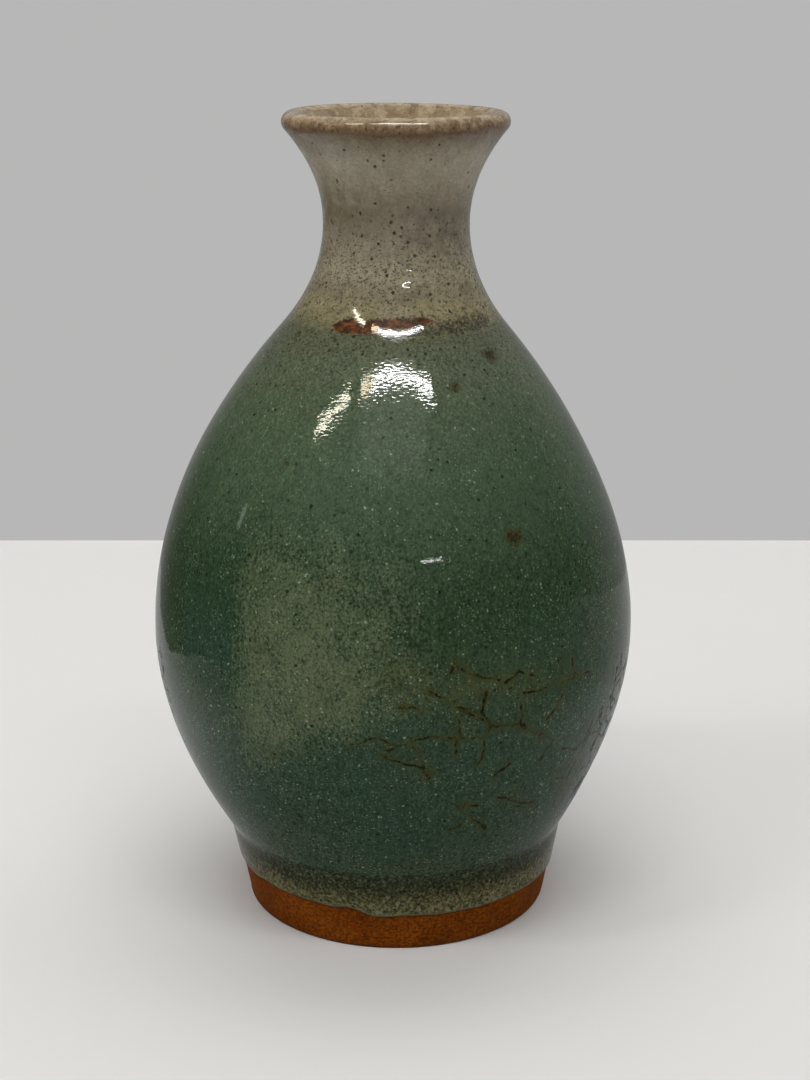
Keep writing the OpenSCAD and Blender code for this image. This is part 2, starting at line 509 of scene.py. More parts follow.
def body_marks(u, az, depth):
    """Values that steer the green glaze: where it broke khaki, pooled teal, crazed or burnt brown."""
    z = height_at(u)
    deg = degrees_of(az)
    lower = np.interp(deg, [-60, -36, -18, 0, 20], [36, 40, 47, 52, 55])
    khaki = between(deg, -41, -32, -16, 16)
    khaki *= smoothstep(z - lower, -5, 5) * (1 - smoothstep(z, 66, 90))
    back = smoothstep(np.cos(np.radians(deg - 150)), 0.3, 0.9)
    khaki = np.maximum(khaki, 0.8 * back * between(z, 45, 55, 70, 84))
    teal = 0.9 * between(deg, -62, -54, -40, -35) * between(z, 52, 60, 70, 78)
    ochre = 0.9 * blob(u, az, 20, 57, 13, 3.2) + 0.5 * blob(u, az, 2, 58, 7, 4)
    ochre = np.minimum(ochre + 0.8 * blob(u, az, 165, 50, 14, 4), 1)
    side = between(deg, 54, 64, 72, 84) + between(deg, -90, -80, -74, -64)
    crackle = side * between(z, 19, 26, 46, 58)
    crackle = np.minimum(crackle + 0.4 * blob(u, az, 160, 40, 9, 7), 1)
    marks = {
        "khaki": khaki,
        "teal": teal,
        # pale: a paler patch of glaze low on the left of the shoulder, and a painted highlight glow at the
        # top of the big front reflection
        "pale": blob(u, az, -22, 91, 14, 9) + 1.4 * blob(u, az, 2, 109, 7, 3.5),
        "ochre": ochre,
        "rust": strongest(u, az, [(*blot, 1.0) for blot in BLOTS], 0.8),
        "spot": strongest(u, az, SPOTS, 0.85),
        "crackle": crackle,
    }
    outer = np.where(depth < 0.01, 1.0, 0.0)
    marks = {name: value * outer for name, value in marks.items()}
    marks["crack"] = crack_distance(u, az)
    return marks


def hem_edge(az):
    """Distance along the path where the foot's glaze ends: a little higher on the left of the front."""
    deg = degrees_of(az)
    high = between(deg, -170, -150, -15, -7)
    wave = 0.14 * np.sin(3 * az + 0.5) + 0.09 * np.sin(8 * az + 1) + 0.05 * np.sin(19 * az)
    wave += 0.03 * np.sin(41 * az + 2)
    bulges = 0.28 * np.exp(-(((deg + 52) / 4) ** 2)) + 0.26 * np.exp(-(((deg + 17) / 3) ** 2))
    return u_outside(HEM_Z - 0.2) + 1.3 * high + wave + bulges


def foot_marks(u, az, depth):
    """Height above the hem of the foot's glaze, in mm."""
    return {"above_hem": np.clip(u - hem_edge(az), -1, 20)}


def clay_marks(u, az, depth):
    """Height above the hem of the foot's glaze, in mm, for the darker line on the clay under it."""
    return {"above_hem": np.clip(u - hem_edge(az), -20, 1)}


def patch_mark(deg, z, start, end, middle, half):
    """1 along the middle of a long patch between two azimuths, 0 at its edge. middle is its height and half
    its half width, in mm. Both may change with the azimuth."""
    taper = between(deg, start, start + 9, end - 9, end)
    return np.clip(1.25 - np.abs(z - middle) / np.maximum(half * taper, 0.01), 0, 1)


def iron_marks(u, az, depth):
    """Where iron broke through red-brown between the two glazes, and where it only stained them dark."""
    z = height_at(u)
    deg = degrees_of(az)
    middle = np.interp(deg, [-34, -12, 0, 20], [114.2, 114.5, 114.9, 115.3])
    half = np.interp(deg, [-34, -12, 4, 20], [1.5, 1.4, 1.1, 0.8])
    iron = patch_mark(deg, z, -37, 24, middle, half)
    iron = np.maximum(iron, patch_mark(deg, z, 124, 178, 114.5, 1.2))
    stain = patch_mark(deg, z, 4, 66, np.interp(deg, [4, 30, 60], [113.0, 113.8, 114.4]), 2.6)
    stain = np.maximum(stain, patch_mark(deg, z, -172, -120, 114.3, 1.8))
    return {"iron": iron, "stain": stain}


def neck_marks(u, az, depth):
    """Where the pale glaze is purple-grey, and where it is thin and darker."""
    purple = 0.9 * blob(u, az, 38, 130, 6, 3.2) + 0.5 * blob(u, az, 20, 131.5, 6, 2.5)
    purple += 0.5 * blob(u, az, 160, 128, 9, 5)
    dark = 0.9 * blob(u, az, -50, 134, 5, 3) + 0.45 * blob(u, az, -20, 134, 7, 3)
    dark += 0.4 * blob(u, az, 100, 136, 7, 4)
    return {"purple": np.minimum(purple, 1), "dark": np.minimum(dark, 1)}


# -------- pieces


def make_body_glaze():
    """Green glaze over the belly and shoulder, finer where the crazing lines are."""
    az = around_finer(1.8, 0.36, -10, 70)
    u = runs(u_outside(np.array([GREEN_Z, 27, 63.5, IRON_Z])), [0.9, 0.26, 1.0])
    return glaze_ring("body_glaze", az, u, body_marks, inside_step=3.0)


def make_iron_band():
    """The band where the green and the pale glaze meet."""
    u = steps(u_outside(IRON_Z), u_outside(PALE_Z), 0.2)
    return glaze_ring("iron_band", around(480), u, iron_marks)


def make_neck_glaze():
    """Pale glaze up the neck to the lip."""
    u = steps(u_outside(PALE_Z), U_LIP, 0.4)
    return glaze_ring("neck_glaze", around(288), u, neck_marks)


def make_lip_glaze():
    """Tan glaze round the lip's bead."""
    u = steps(U_LIP, U_MOUTH, 0.16)
    return glaze_ring("lip_glaze", around(320), u, inside_step=0.3)


def make_foot_glaze():
    """Thin glaze on the upper part of the foot, with a rounded, slightly uneven hem."""
    az = around(420)
    edge = hem_edge(az)
    top = u_outside(GREEN_Z)
    roll = 0.8
    outer_u = edge + roll + (top - edge - roll) * np.linspace(0, 1, 34)[:, None]
    turn = np.linspace(np.pi / 2, 0, 9)[:, None]
    hem_u = edge + roll * (1 - np.sin(turn))
    hem_depth = GLAZE * (1 - np.cos(turn)) - 0.05 * np.sin(2 * turn)
    hem = free_strip(skin(hem_u, az, hem_depth), hem_u)
    front = skin_strip(outer_u, az)
    hem["n"][-1] = front["n"][0]
    inner_u = top + (edge - top) * np.linspace(0, 1, 9)[:, None]
    strips = [hem, front, cut_strip(top, az, 0.0, GLAZE), skin_strip(inner_u, az, GLAZE)]
    return build("foot_glaze", "foot_glaze", az, strips, marks=foot_marks)


def make_inner_glaze():
    """Liner of the mouth, throat, cavity and floor. Its section runs from the axis along the under side to
    the mouth, and back over the top."""
    az = around(176)
    throat, belly = u_inside(np.array([120, 30.0]))
    over = skin_strip(runs([U_MOUTH, throat, belly, U_END], [0.5, 1.6, 1.0]), az)
    under = skin_strip(steps(U_END, U_MOUTH, 2.2), az, LINER)
    strips = [under, cut_strip(U_MOUTH, az, LINER, 0.0), over]
    return build("inner_glaze", "inner_glaze", az, strips, closed=False)


def rounded(centre_r, centre_z, radius, start, end, count):
    """(radius, height) points along an arc between two angles in degrees."""
    angles = np.radians(np.linspace(start, end, count))
    return [(centre_r + radius * math.cos(a), centre_z + radius * math.sin(a)) for a in angles]


def make_turned_foot():
    """Foot ring and floor, with a trimmed hollow underneath and softened edges."""
    az = around(420)
    recess = []
    for r in np.concatenate([[0], np.arange(1.2, FOOT_INNER_R - 1.3, 0.6)]):
        ridge = 0.06 * math.cos(2 * math.pi * r / 2.4) + 0.35 * math.exp(-((r / 2.2) ** 2))
        recess.append((r, FOOT_RECESS - ridge))
    corner = 1.2
    recess += rounded(FOOT_INNER_R - corner, FOOT_RECESS - corner, corner, 90, 0, 7)
    wall = [(FOOT_INNER_R, z) for z in np.arange(FOOT_RECESS - 1.8, BEVEL + 0.2, -0.5)]
    outer_r = OUTER[0][1] - GLAZE
    bottom = rounded(FOOT_INNER_R + BEVEL, BEVEL, BEVEL, 180, 270, 6)
    bottom += [(r, 0.0) for r in np.arange(FOOT_INNER_R + 1.2, outer_r - 0.9, 0.6)]
    bottom += rounded(outer_r - 0.5, BEVEL, BEVEL, 270, 350, 7)
    underside = turned_rows(recess + wall + bottom, az)
    start, top = u_outside(np.array([1.0, OUTER[1][0]]))
    outside = skin_strip(steps(start, top, 0.4), az, GLAZE)
    join = free_strip(np.stack([underside[-1], outside["p"][0]]))
    join["n"][1] = outside["n"][0]
    inner_top = u_inside(INNER[0][0])
    across = free_strip(np.stack([outside["p"][-1], skin(inner_top, az, LINER)]))
    floor = skin_strip(steps(inner_top, U_END, 2.0), az, LINER)
    strips = [free_strip(underside), join, outside, across, floor]
    return build("turned_foot", "turned_foot", az, strips, closed=False, marks=clay_marks)


def wall_ring(name, az, outside, inside):
    """A closed ring of clay between an outer strip that runs up and an inner one that runs down."""
    over = free_strip(np.stack([outside["p"][-1], inside["p"][0]]))
    under = free_strip(np.stack([inside["p"][-1], outside["p"][0]]))
    return build(name, name, az, [outside, over, inside, under])


def make_wall(name, low, high, inner_low):
    """A stretch of clay wall between two heights. It starts at its own height on the inside."""
    az = around(120)
    u0, u1 = u_outside(np.array([low, high]))
    outside = skin_strip(steps(u0, u1, 2.0), az, GLAZE)
    inside = skin_strip(steps(u_inside(high), u_inside(inner_low), 2.0), az, LINER)
    return wall_ring(name, az, outside, inside)


def make_mouth_wall():
    """The flared mouth's clay, with the lip's rounded core."""
    az = around(160)
    low = 134
    outside = skin_strip(runs([u_outside(low), U_LIP, U_MOUTH], [1.5, 0.3]), az, GLAZE)
    inside = skin_strip(steps(U_MOUTH, u_inside(low), 1.5), az, LINER)
    return wall_ring("mouth_wall", az, outside, inside)


# -------- materials


def tone(r, g, b):
    """A linear colour from its usual 0 to 255 values."""
    parts = [v / 255 for v in (r, g, b)]
    return [v / 12.92 if v <= 0.04045 else ((v + 0.055) / 1.055) ** 2.4 for v in parts] + [1.0]


class Graph:
    """The nodes of a material or world, made by short calls that take sockets or plain values."""

    def __init__(self, owner):
        self.owner = owner
        owner.use_nodes = True
        self.tree = owner.node_tree
        self.tree.nodes.clear()

    def node(self, kind, values=None, **settings):
        """A new node with its settings. values has sockets or plain values for its inputs."""
        node = self.tree.nodes.new("ShaderNode" + kind)
        for key, setting in settings.items():
            setattr(node, key, setting)
        for key, value in (values or {}).items():
            if isinstance(value, bpy.types.NodeSocket):
                self.tree.links.new(value, node.inputs[key])
            else:
                node.inputs[key].default_value = value
        return node

    def vector(self, operation, a, b):
        """Vector maths."""
        return self.node("VectorMath", {0: a, 1: b}, operation=operation).outputs[0]

    def shade(self, vector, factor):
        """A colour made lighter or darker, or a place or a vector made larger, by a factor."""
        return self.node("VectorMath", {0: vector, "Scale": factor}, operation="SCALE").outputs[0]

    def math(self, operation, a, b=0.0):
        """Maths on single values."""
        return self.node("Math", {0: a, 1: b}, operation=operation).outputs[0]

    def plus(self, a, b):
        """A sum."""
        return self.math("ADD", a, b)

    def times(self, a, b):
        """A product."""
        return self.math("MULTIPLY", a, b)

    def spread(self, value, width):
        """A value between 0 and 1, centred on 0 and made the given width."""
        return self.times(self.math("SUBTRACT", value, 0.5), width)

    def height(self):
        """Height above the table, in mm."""
        return self.node("SeparateXYZ", {0: self.mm}).outputs[2]

    def mark(self, name):
        """A value stored on the mesh's points."""
        return self.node("Attribute", attribute_name=name).outputs["Fac"]

    def noise_node(self, place, scale, detail=2.0, rough=0.5):
        """A noise texture at a place."""
        values = {"Vector": place, "Scale": scale, "Detail": detail, "Roughness": rough}
        return self.node("TexNoise", values)

    def noise(self, scale, detail=2.0, rough=0.5, stretch=(1, 1, 1), seed=0.0):
        """Noise between 0 and 1. scale is features per mm, and stretch squeezes it along each axis."""
        place = self.vector("MULTIPLY", self.mm, stretch)
        place = self.vector("ADD", place, (seed * 17.3, seed * 5.1, seed * 29.7))
        return self.noise_node(place, scale, detail, rough).outputs[0]

    def band(self, value, low, high, out_low=0.0, out_high=1.0):
        """A smooth step from low to high."""
        values = {"Value": value, "From Min": low, "From Max": high, "To Min": out_low, "To Max": out_high}
        return self.node("MapRange", values, interpolation_type="SMOOTHSTEP").outputs[0]

    def ramp(self, value, low, high, stops):
        """Colours along a value. stops are (value, colour), in rising order."""
        share = self.math("DIVIDE", self.math("SUBTRACT", value, low), high - low)
        node = self.node("ValToRGB", {0: share})
        node.color_ramp.interpolation = "LINEAR"
        elements = node.color_ramp.elements
        while len(elements) < len(stops):
            elements.new(0.5)
        for element, (at, colour) in zip(elements, stops):
            element.position = (at - low) / (high - low)
            element.color = tone(*colour)
        return node.outputs[0]

    def mix(self, share, a, b):
        """One colour into another."""
        values = {0: share, 6: a, 7: b}
        return self.node("Mix", values, data_type="RGBA", clamp_factor=True).outputs[2]

    def cover(self, colour, mask, strength, paint):
        """A colour with another one, given by its 0 to 255 values, over it where a mask is."""
        return self.mix(self.times(mask, strength), colour, tone(*paint))

    def cells(self, size, feature="F1", seed=0.0, warp=0.0):
        """Voronoi cells of the given size in mm, with their borders bent by warp."""
        place = self.vector("ADD", self.mm, (seed * 11.9, seed * 23.3, seed * 7.7))
        if warp:
            shift = self.noise_node(place, 1.1 / size).outputs[1]
            shift = self.shade(self.vector("SUBTRACT", shift, (0.5, 0.5, 0.5)), warp)
            place = self.vector("ADD", place, shift)
        return self.node("TexVoronoi", {"Vector": place, "Scale": 1.0 / size}, feature=feature)

    def specks(self, size, radius, share, seed=0.0, warp=0.0, soft=0.35):
        """Scattered dots. size is their spacing and radius theirs, in mm. share of the cells have one."""
        node = self.cells(size, seed=seed, warp=warp)
        reach = radius / size
        dot = self.band(node.outputs["Distance"], reach * (1 - soft), reach * (1 + soft), 1.0, 0.0)
        parts = self.node("SeparateColor", {0: node.outputs["Color"]})
        chosen = self.math("LESS_THAN", parts.outputs[0], share)
        weight = self.band(parts.outputs[1], 0.0, 1.0, 0.35, 1.0)
        return self.times(self.times(dot, chosen), weight)

    def bump(self, height, distance, strength=1.0, under=None):
        """A normal from a height between 0 and 1 times a distance in mm."""
        values = {"Strength": strength, "Distance": distance * MM, "Height": height}
        if under is not None:
            values["Normal"] = under
        return self.node("Bump", values).outputs[0]

    def end(self, shader, kind="OutputMaterial"):
        """Joins a shader's socket to the output, and gives the material or the world."""
        self.node(kind, {0: shader})
        return self.owner

    def finish(self, colour, roughness, normal=None, shine=0.5):
        """The surface shader and the material's output."""
        values = {"Base Color": colour, "Roughness": roughness, "IOR": 1.5, "Specular IOR Level": shine}
        if normal is not None:
            values["Normal"] = normal
        return self.end(self.node("BsdfPrincipled", values).outputs[0])


def material_graph(name):
    """The graph of a new material, with the place on the object in mm."""
    g = Graph(bpy.data.materials.new(name))
    g.mm = g.shade(g.node("TexCoord").outputs["Object"], 1000)
    return g


def glaze_surface(g, groove=None):
    """Roughness and rippled normal of a fired, glossy glaze, with grooves where it is cracked."""
    peel = g.noise(1.35, 0.6, 0.5, stretch=(1, 1, 2.1), seed=3)
    soft = g.noise(0.35, 1.0, 0.5, stretch=(1, 1, 1.3), seed=4)
    height = g.height()
    rippled = g.times(g.band(height, 84, 97, 0.25, 1.0), g.band(height, 107, 111, 1.0, 0.35))
    normal = g.bump(peel, 0.019, strength=rippled)
    normal = g.bump(soft, 0.015, under=normal)
    roughness = g.band(g.noise(0.5, seed=6), 0.35, 0.7, 0.025, 0.045)
    if groove is not None:
        normal = g.bump(groove, -0.12, under=normal)
        roughness = g.plus(roughness, g.times(groove, 0.4))
    return roughness, normal


def outside_colour(g):
    """Colour of the whole outside from the foot's khaki to the tan lip, so that the pieces meet unseen. Also
    gives a fine grain and a finer one."""
    height = g.height()
    sway = g.times(g.band(height, 15, 30, 0.06, 1.0), g.band(height, 92, 112, 1.0, 0.25))
    drift = g.spread(g.noise(0.045, seed=1), 14)
    fray = g.spread(g.noise(0.7, 3.0, 0.6, seed=2), 3.0)
    z = g.plus(g.plus(height, g.times(drift, sway)), fray)
    colour = g.ramp(z, 5, 155, [
        (8, (112, 108, 76)),
        (10.5, (104, 101, 69)),
        (12.3, (88, 86, 58)),
        (13.8, (66, 71, 48)),
        (15.6, (67, 79, 60)),
        (21, (62, 77, 60)),
        (30, (55, 72, 56)),
        (46, (54, 72, 55)),
        (58, (54, 71, 50)),
        (68, (48, 67, 45)),
        (76, (51, 70, 48)),
        (84, (62, 80, 58)),
        (93, (69, 86, 64)),
        (101, (76, 91, 68)),
        (108, (88, 98, 76)),
        (112.6, (94, 98, 76)),
        (114.6, (128, 122, 92)),
        (116.6, (146, 137, 105)),
        (119, (135, 127, 102)),
        (122.5, (156, 148, 124)),
        (128, (141, 133, 114)),
        (133, (134, 126, 107)),
        (138, (154, 146, 127)),
        (142, (156, 148, 131)),
        (144.6, (135, 127, 109)),
        (146.2, (116, 103, 85)),
        (147.3, (107, 87, 68)),
        # The lip's top grows lighter: partly cream glaze, partly a painted highlight
        (148.4, (130, 107, 81)),
        (149.4, (164, 144, 115)),
        (150.4, (184, 164, 134)),
    ])
    grain = g.noise(1.3, 2.0, 0.65, stretch=(1, 1, 0.55), seed=9)
    streak = g.noise(0.8, 3.0, 0.6, stretch=(1, 1, 0.3), seed=10)
    streak = g.spread(streak, g.band(height, 106, 120, 0.85, 0.4))
    colour = g.shade(colour, g.plus(streak, 1.0))
    sugar = g.noise(2.2, 1.0, 0.5, stretch=(1, 1, 0.8), seed=11)
    green = g.times(g.band(height, 9, 14), g.band(height, 106, 122, 1.0, 0.5))
    strength = g.times(green, g.band(height, 70, 88, 2.2, 1.3))
    tilt = g.spread(sugar, strength)
    colour = g.shade(colour, g.plus(tilt, 1.0))
    return colour, grain, sugar


def iron_specks(g, colour):
    """Dark iron specks and smudges: thick round the band where the glazes meet, thin elsewhere."""
    height = g.height()
    crowd = g.times(g.band(height, 98, 112, 0.25, 1.0), g.band(height, 124, 137, 1.0, 0.2))
    lift = g.times(g.math("SUBTRACT", crowd, 1.0), 0.13)
    smear = g.noise(1.15, 2.0, 0.62, stretch=(1, 1, 1.7), seed=21)
    smear = g.band(g.plus(smear, lift), 0.55, 0.66)
    colour = g.cover(colour, smear, 0.45, (66, 58, 42))
    patch = g.noise(2.1, 2.0, 0.6, stretch=(1, 1, 1.4), seed=22)
    patch = g.band(g.plus(patch, lift), 0.575, 0.64)
    colour = g.cover(colour, patch, 0.75, (44, 37, 26))
    dots = g.specks(1.35, 0.30, g.times(crowd, 0.72), seed=14, warp=0.6)
    return g.cover(colour, dots, 0.9, (32, 28, 22))


def pooled_and_broken(g, colour, grain, sugar):
    """Teal where the green pooled, ochre and khaki where it broke thin, a paler shoulder and a painted
    highlight glow.
    """
    hue = g.band(g.noise(0.07, seed=18), 0.38, 0.66)
    teal = g.math("MAXIMUM", g.mark("teal"), g.times(hue, 0.55))
    low = g.band(g.height(), 56, 76, 1.0, 0.12)
    colour = g.cover(colour, g.times(teal, low), 0.6, (42, 70, 60))
    ochre = g.times(g.mark("ochre"), g.band(g.noise(0.25, 3.0, 0.6, seed=8), 0.35, 0.65))
    colour = g.cover(colour, ochre, 0.5, (84, 86, 48))
    edge = g.plus(g.mark("khaki"), g.spread(grain, 1.5))
    edge = g.plus(edge, g.spread(sugar, 2.2))
    cloud = g.noise(0.22, 3.0, 0.6, stretch=(1, 1, 0.7), seed=31)
    edge = g.plus(edge, g.spread(cloud, 1.6))
    broken = g.times(g.band(edge, -0.1, 1.6), g.band(g.mark("khaki"), 0.0, 0.3))
    colour = g.mix(broken, colour, tone(96, 106, 79))
    # Lighter where the pale mark is: partly paler glaze, partly a painted highlight glow
    return g.shade(colour, g.plus(g.times(g.mark("pale"), 0.17), 1.0))


def sugary_specks(g, colour):
    """Dark pepper and crowds of pale specks, both strongest low down."""
    height = g.height()
    pepper = g.noise(2.4, 2.0, 0.6, seed=23)
    pepper = g.times(g.band(pepper, 0.54, 0.66), g.band(height, 70, 88, 0.6, 0.38))
    colour = g.mix(pepper, colour, tone(32, 44, 29))
    crowd = g.band(g.noise(0.14, 3.0, 0.6, seed=12), 0.36, 0.64, 0.15, 1.0)
    crowd = g.times(crowd, g.band(height, 66, 92, 1.0, 0.45))
    crowd = g.times(crowd, g.band(height, 98, 111, 1.0, 0.0))
    pale = g.specks(0.5, 0.12, crowd, seed=13, warp=0.3, soft=0.6)
    colour = g.cover(colour, pale, 0.7, (128, 150, 122))
    large = g.specks(1.1, 0.19, g.times(crowd, 0.75), seed=19, warp=0.8)
    return g.cover(colour, large, 0.72, (150, 170, 142))


def burnt_spots(g, colour, grain, sugar):
    """Ragged brown spots, darker in their hearts."""
    spot = g.mark("spot")
    burnt = g.band(g.plus(spot, g.spread(grain, 1.8)), 0.22, 0.75)
    burnt = g.times(burnt, g.band(spot, 0.0, 0.2))
    colour = g.cover(colour, burnt, 0.75, (68, 64, 33))
    heart = g.band(g.plus(spot, g.spread(sugar, 1.8)), 0.62, 0.9)
    heart = g.times(heart, g.band(spot, 0.1, 0.4))
    return g.cover(colour, heart, 0.85, (38, 33, 17))


def crazing(g, colour, grain, sugar):
    """Crazing lines with olive halos and rusty blots, and a fine net at the sides. Also gives the grooves."""
    ink = g.band(g.noise(0.6, 2.0, 0.6, seed=15), 0.34, 0.52, 0.35, 1.0)
    wander = g.spread(g.noise(0.35, 2.0, 0.6, seed=32), 0.8)
    near = g.plus(g.mark("crack"), g.plus(wander, g.spread(grain, 0.7)))
    halo = g.band(near, 0.1, 1.1, 0.6, 0.0)
    colour = g.mix(halo, colour, tone(66, 70, 34))
    line = g.times(g.band(near, 0.05, 0.30, 1.0, 0.0), ink)
    colour = g.cover(colour, line, 0.92, (24, 24, 11))
    rust = g.mark("rust")
    colour = g.cover(colour, g.times(rust, g.band(grain, 0.44, 0.60)), 0.7, (80, 71, 32))
    colour = g.cover(colour, g.times(rust, g.band(sugar, 0.50, 0.62)), 0.9, (28, 24, 10))
    crackle = g.mark("crackle")
    net = g.cells(3.4, "DISTANCE_TO_EDGE", seed=16, warp=4.0).outputs["Distance"]
    net = g.band(net, 0.015, 0.08, 1.0, 0.0)
    gaps = g.plus(g.noise(0.22, 3.0, 0.6, seed=17), g.times(crackle, 0.12))
    net = g.times(g.times(net, g.band(gaps, 0.47, 0.57)), g.band(crackle, 0.0, 0.5))
    colour = g.cover(colour, net, 0.75, (28, 29, 18))
    return colour, g.math("MAXIMUM", net, g.times(line, 0.5))


def body_material():
    """Copper green: darker low down, broken with khaki, full of pale specks, crazed and spotted brown."""
    g = material_graph("body_glaze")
    colour, grain, sugar = outside_colour(g)
    colour = pooled_and_broken(g, colour, grain, sugar)
    colour = sugary_specks(g, colour)
    colour = iron_specks(g, colour)
    colour = burnt_spots(g, colour, grain, sugar)
    colour, groove = crazing(g, colour, grain, sugar)
    return g.finish(colour, *glaze_surface(g, groove))


def iron_material():
    """The meeting of the glazes, with iron-brown where it broke through and dark stains beside that."""
    g = material_graph("iron_glaze")
    colour, _, sugar = outside_colour(g)
    colour = iron_specks(g, colour)
    rough_grain = g.spread(g.noise(1.1, 3.0, 0.65, seed=9), 1.5)
    stain = g.band(g.plus(g.mark("stain"), g.times(rough_grain, 1.6)), 0.45, 1.05)
    stain = g.times(stain, g.band(g.mark("stain"), 0.0, 0.2))
    stain = g.times(stain, g.band(g.noise(1.9, 3.0, 0.65, seed=29), 0.42, 0.56, 0.35, 1.0))
    colour = g.cover(colour, stain, 0.8, (42, 37, 28))
    ragged = g.spread(g.noise(2.4, 3.0, 0.65, seed=33), 1.6)
    patch = g.band(g.plus(g.mark("iron"), ragged), 0.30, 0.62)
    patch = g.times(patch, g.band(g.mark("iron"), 0.0, 0.15))
    rust = g.ramp(g.noise(0.55, 3.0, 0.65, stretch=(1, 1, 2), seed=5), 0, 1, [
        (0.36, (48, 32, 20)),
        (0.48, (86, 50, 24)),
        (0.62, (124, 74, 44)),
    ])
    rust = g.shade(rust, g.band(sugar, 0.3, 0.7, 0.75, 1.25))
    colour = g.mix(g.times(patch, 0.94), colour, rust)
    return g.finish(colour, *glaze_surface(g))


def neck_material():
    """Pale greyish glaze, specked with iron, with purple-grey and thin brownish patches."""
    g = material_graph("neck_glaze")
    colour = outside_colour(g)[0]
    purple = g.times(g.mark("purple"), g.band(g.noise(0.4, 3.0, 0.6, seed=7), 0.3, 0.6))
    colour = g.cover(colour, purple, 0.6, (104, 92, 86))
    thin = g.times(g.mark("dark"), g.band(g.noise(0.35, 3.0, 0.6, seed=8), 0.3, 0.6))
    colour = g.cover(colour, thin, 0.5, (96, 86, 64))
    cloud = g.band(g.noise(0.3, 3.0, 0.6, seed=24), 0.3, 0.7, 0.91, 1.09)
    colour = g.shade(colour, cloud)
    smudge = g.band(g.noise(0.6, 3.0, 0.6, seed=32), 0.52, 0.66)
    smudge = g.times(smudge, g.band(g.height(), 126, 136, 0.34, 0.0))
    colour = g.mix(smudge, colour, tone(84, 76, 60))
    colour = iron_specks(g, colour)
    return g.finish(colour, *glaze_surface(g))


def lip_material():
    """Tan and cream mottles, brown where the glaze broke over the lip's lower edge."""
    g = material_graph("lip_glaze")
    colour = outside_colour(g)[0]
    cream = g.band(g.noise(0.5, 4.0, 0.7, stretch=(1, 1, 1.6), seed=8), 0.47, 0.62)
    cream = g.times(cream, g.band(g.height(), 147.2, 149.4))
    colour = g.cover(colour, cream, 0.7, (186, 168, 138))
    brown = g.band(g.noise(0.42, 4.0, 0.7, seed=7), 0.48, 0.62)
    colour = g.cover(colour, brown, 0.52, (92, 68, 44))
    smut = g.band(g.noise(1.2, 3.0, 0.65, seed=25), 0.58, 0.68)
    colour = g.cover(colour, smut, 0.6, (52, 36, 24))
    return g.finish(colour, *glaze_surface(g), shine=0.85)


def liner_material():
    """Inside: tan near the lip, greyish cream below, with fine specks."""
    g = material_graph("liner_glaze")
    drift = g.spread(g.noise(0.12, 3.0, 0.6, seed=1), 6)
    z = g.plus(g.height(), drift)
    colour = g.ramp(z, 0, 155, [
        (12, (104, 104, 82)),
        (60, (112, 110, 90)),
        (120, (124, 118, 98)),
        (143, (140, 130, 106)),
        (148, (150, 132, 104)),
    ])
    cream = g.band(g.noise(0.35, 4.0, 0.7, seed=8), 0.46, 0.62)
    cream = g.times(cream, g.band(g.height(), 141, 147))
    colour = g.cover(colour, cream, 0.7, (190, 172, 142))
    brown = g.band(g.noise(0.3, 4.0, 0.7, seed=30), 0.5, 0.62)
    brown = g.times(brown, g.band(g.height(), 143, 148))
    colour = g.cover(colour, brown, 0.5, (120, 94, 66))
    sugar = g.noise(1.4, 2.0, 0.6, seed=11)
    colour = g.shade(colour, g.band(sugar, 0.3, 0.7, 0.88, 1.12))
    dark = g.specks(1.5, 0.26, 0.35, seed=14)
    colour = g.cover(colour, dark, 0.6, (62, 54, 40))
    return g.finish(colour, *glaze_surface(g))


def foot_glaze_material():
    """Thin glaze on the foot: dark smudges and green towards the crease, khaki with dark specks, pale at the
    hem.
    """
    g = material_graph("foot_glaze")
    colour = outside_colour(g)[0]
    tint = g.band(g.noise(0.06, 1.0, 0.5, seed=6), 0.4, 0.6)
    colour = g.cover(colour, tint, 0.3, (84, 92, 66))
    coarse = g.noise(1.5, 3.0, 0.65, seed=26)
    colour = g.shade(colour, g.band(coarse, 0.32, 0.68, 0.42, 1.62))
    # Dark smudges grow denser towards the crease
    toward_crease = g.band(g.height(), 10, 13.2, 0.0, 0.07)
    smear = g.band(g.plus(g.noise(1.9, 3.0, 0.65, seed=27), toward_crease), 0.50, 0.60)
    colour = g.cover(colour, smear, 0.7, (34, 32, 20))
    dark = g.specks(0.8, 0.25, 0.8, seed=14, warp=0.5)
    colour = g.cover(colour, dark, 0.85, (28, 26, 16))
    rim = g.band(g.mark("above_hem"), 0.25, 0.9, 1.0, 0.0)
    colour = g.cover(colour, rim, 0.6, (108, 112, 80))
    # Darker along the hem's very edge
    under = g.band(g.mark("above_hem"), 0.0, 0.22, 1.0, 0.0)
    colour = g.cover(colour, under, 0.8, (54, 44, 24))
    normal = glaze_surface(g)[1]
    roughness = g.band(g.mark("above_hem"), 0.2, 1.4, 0.35, 0.12)
    return g.finish(colour, roughness, normal)


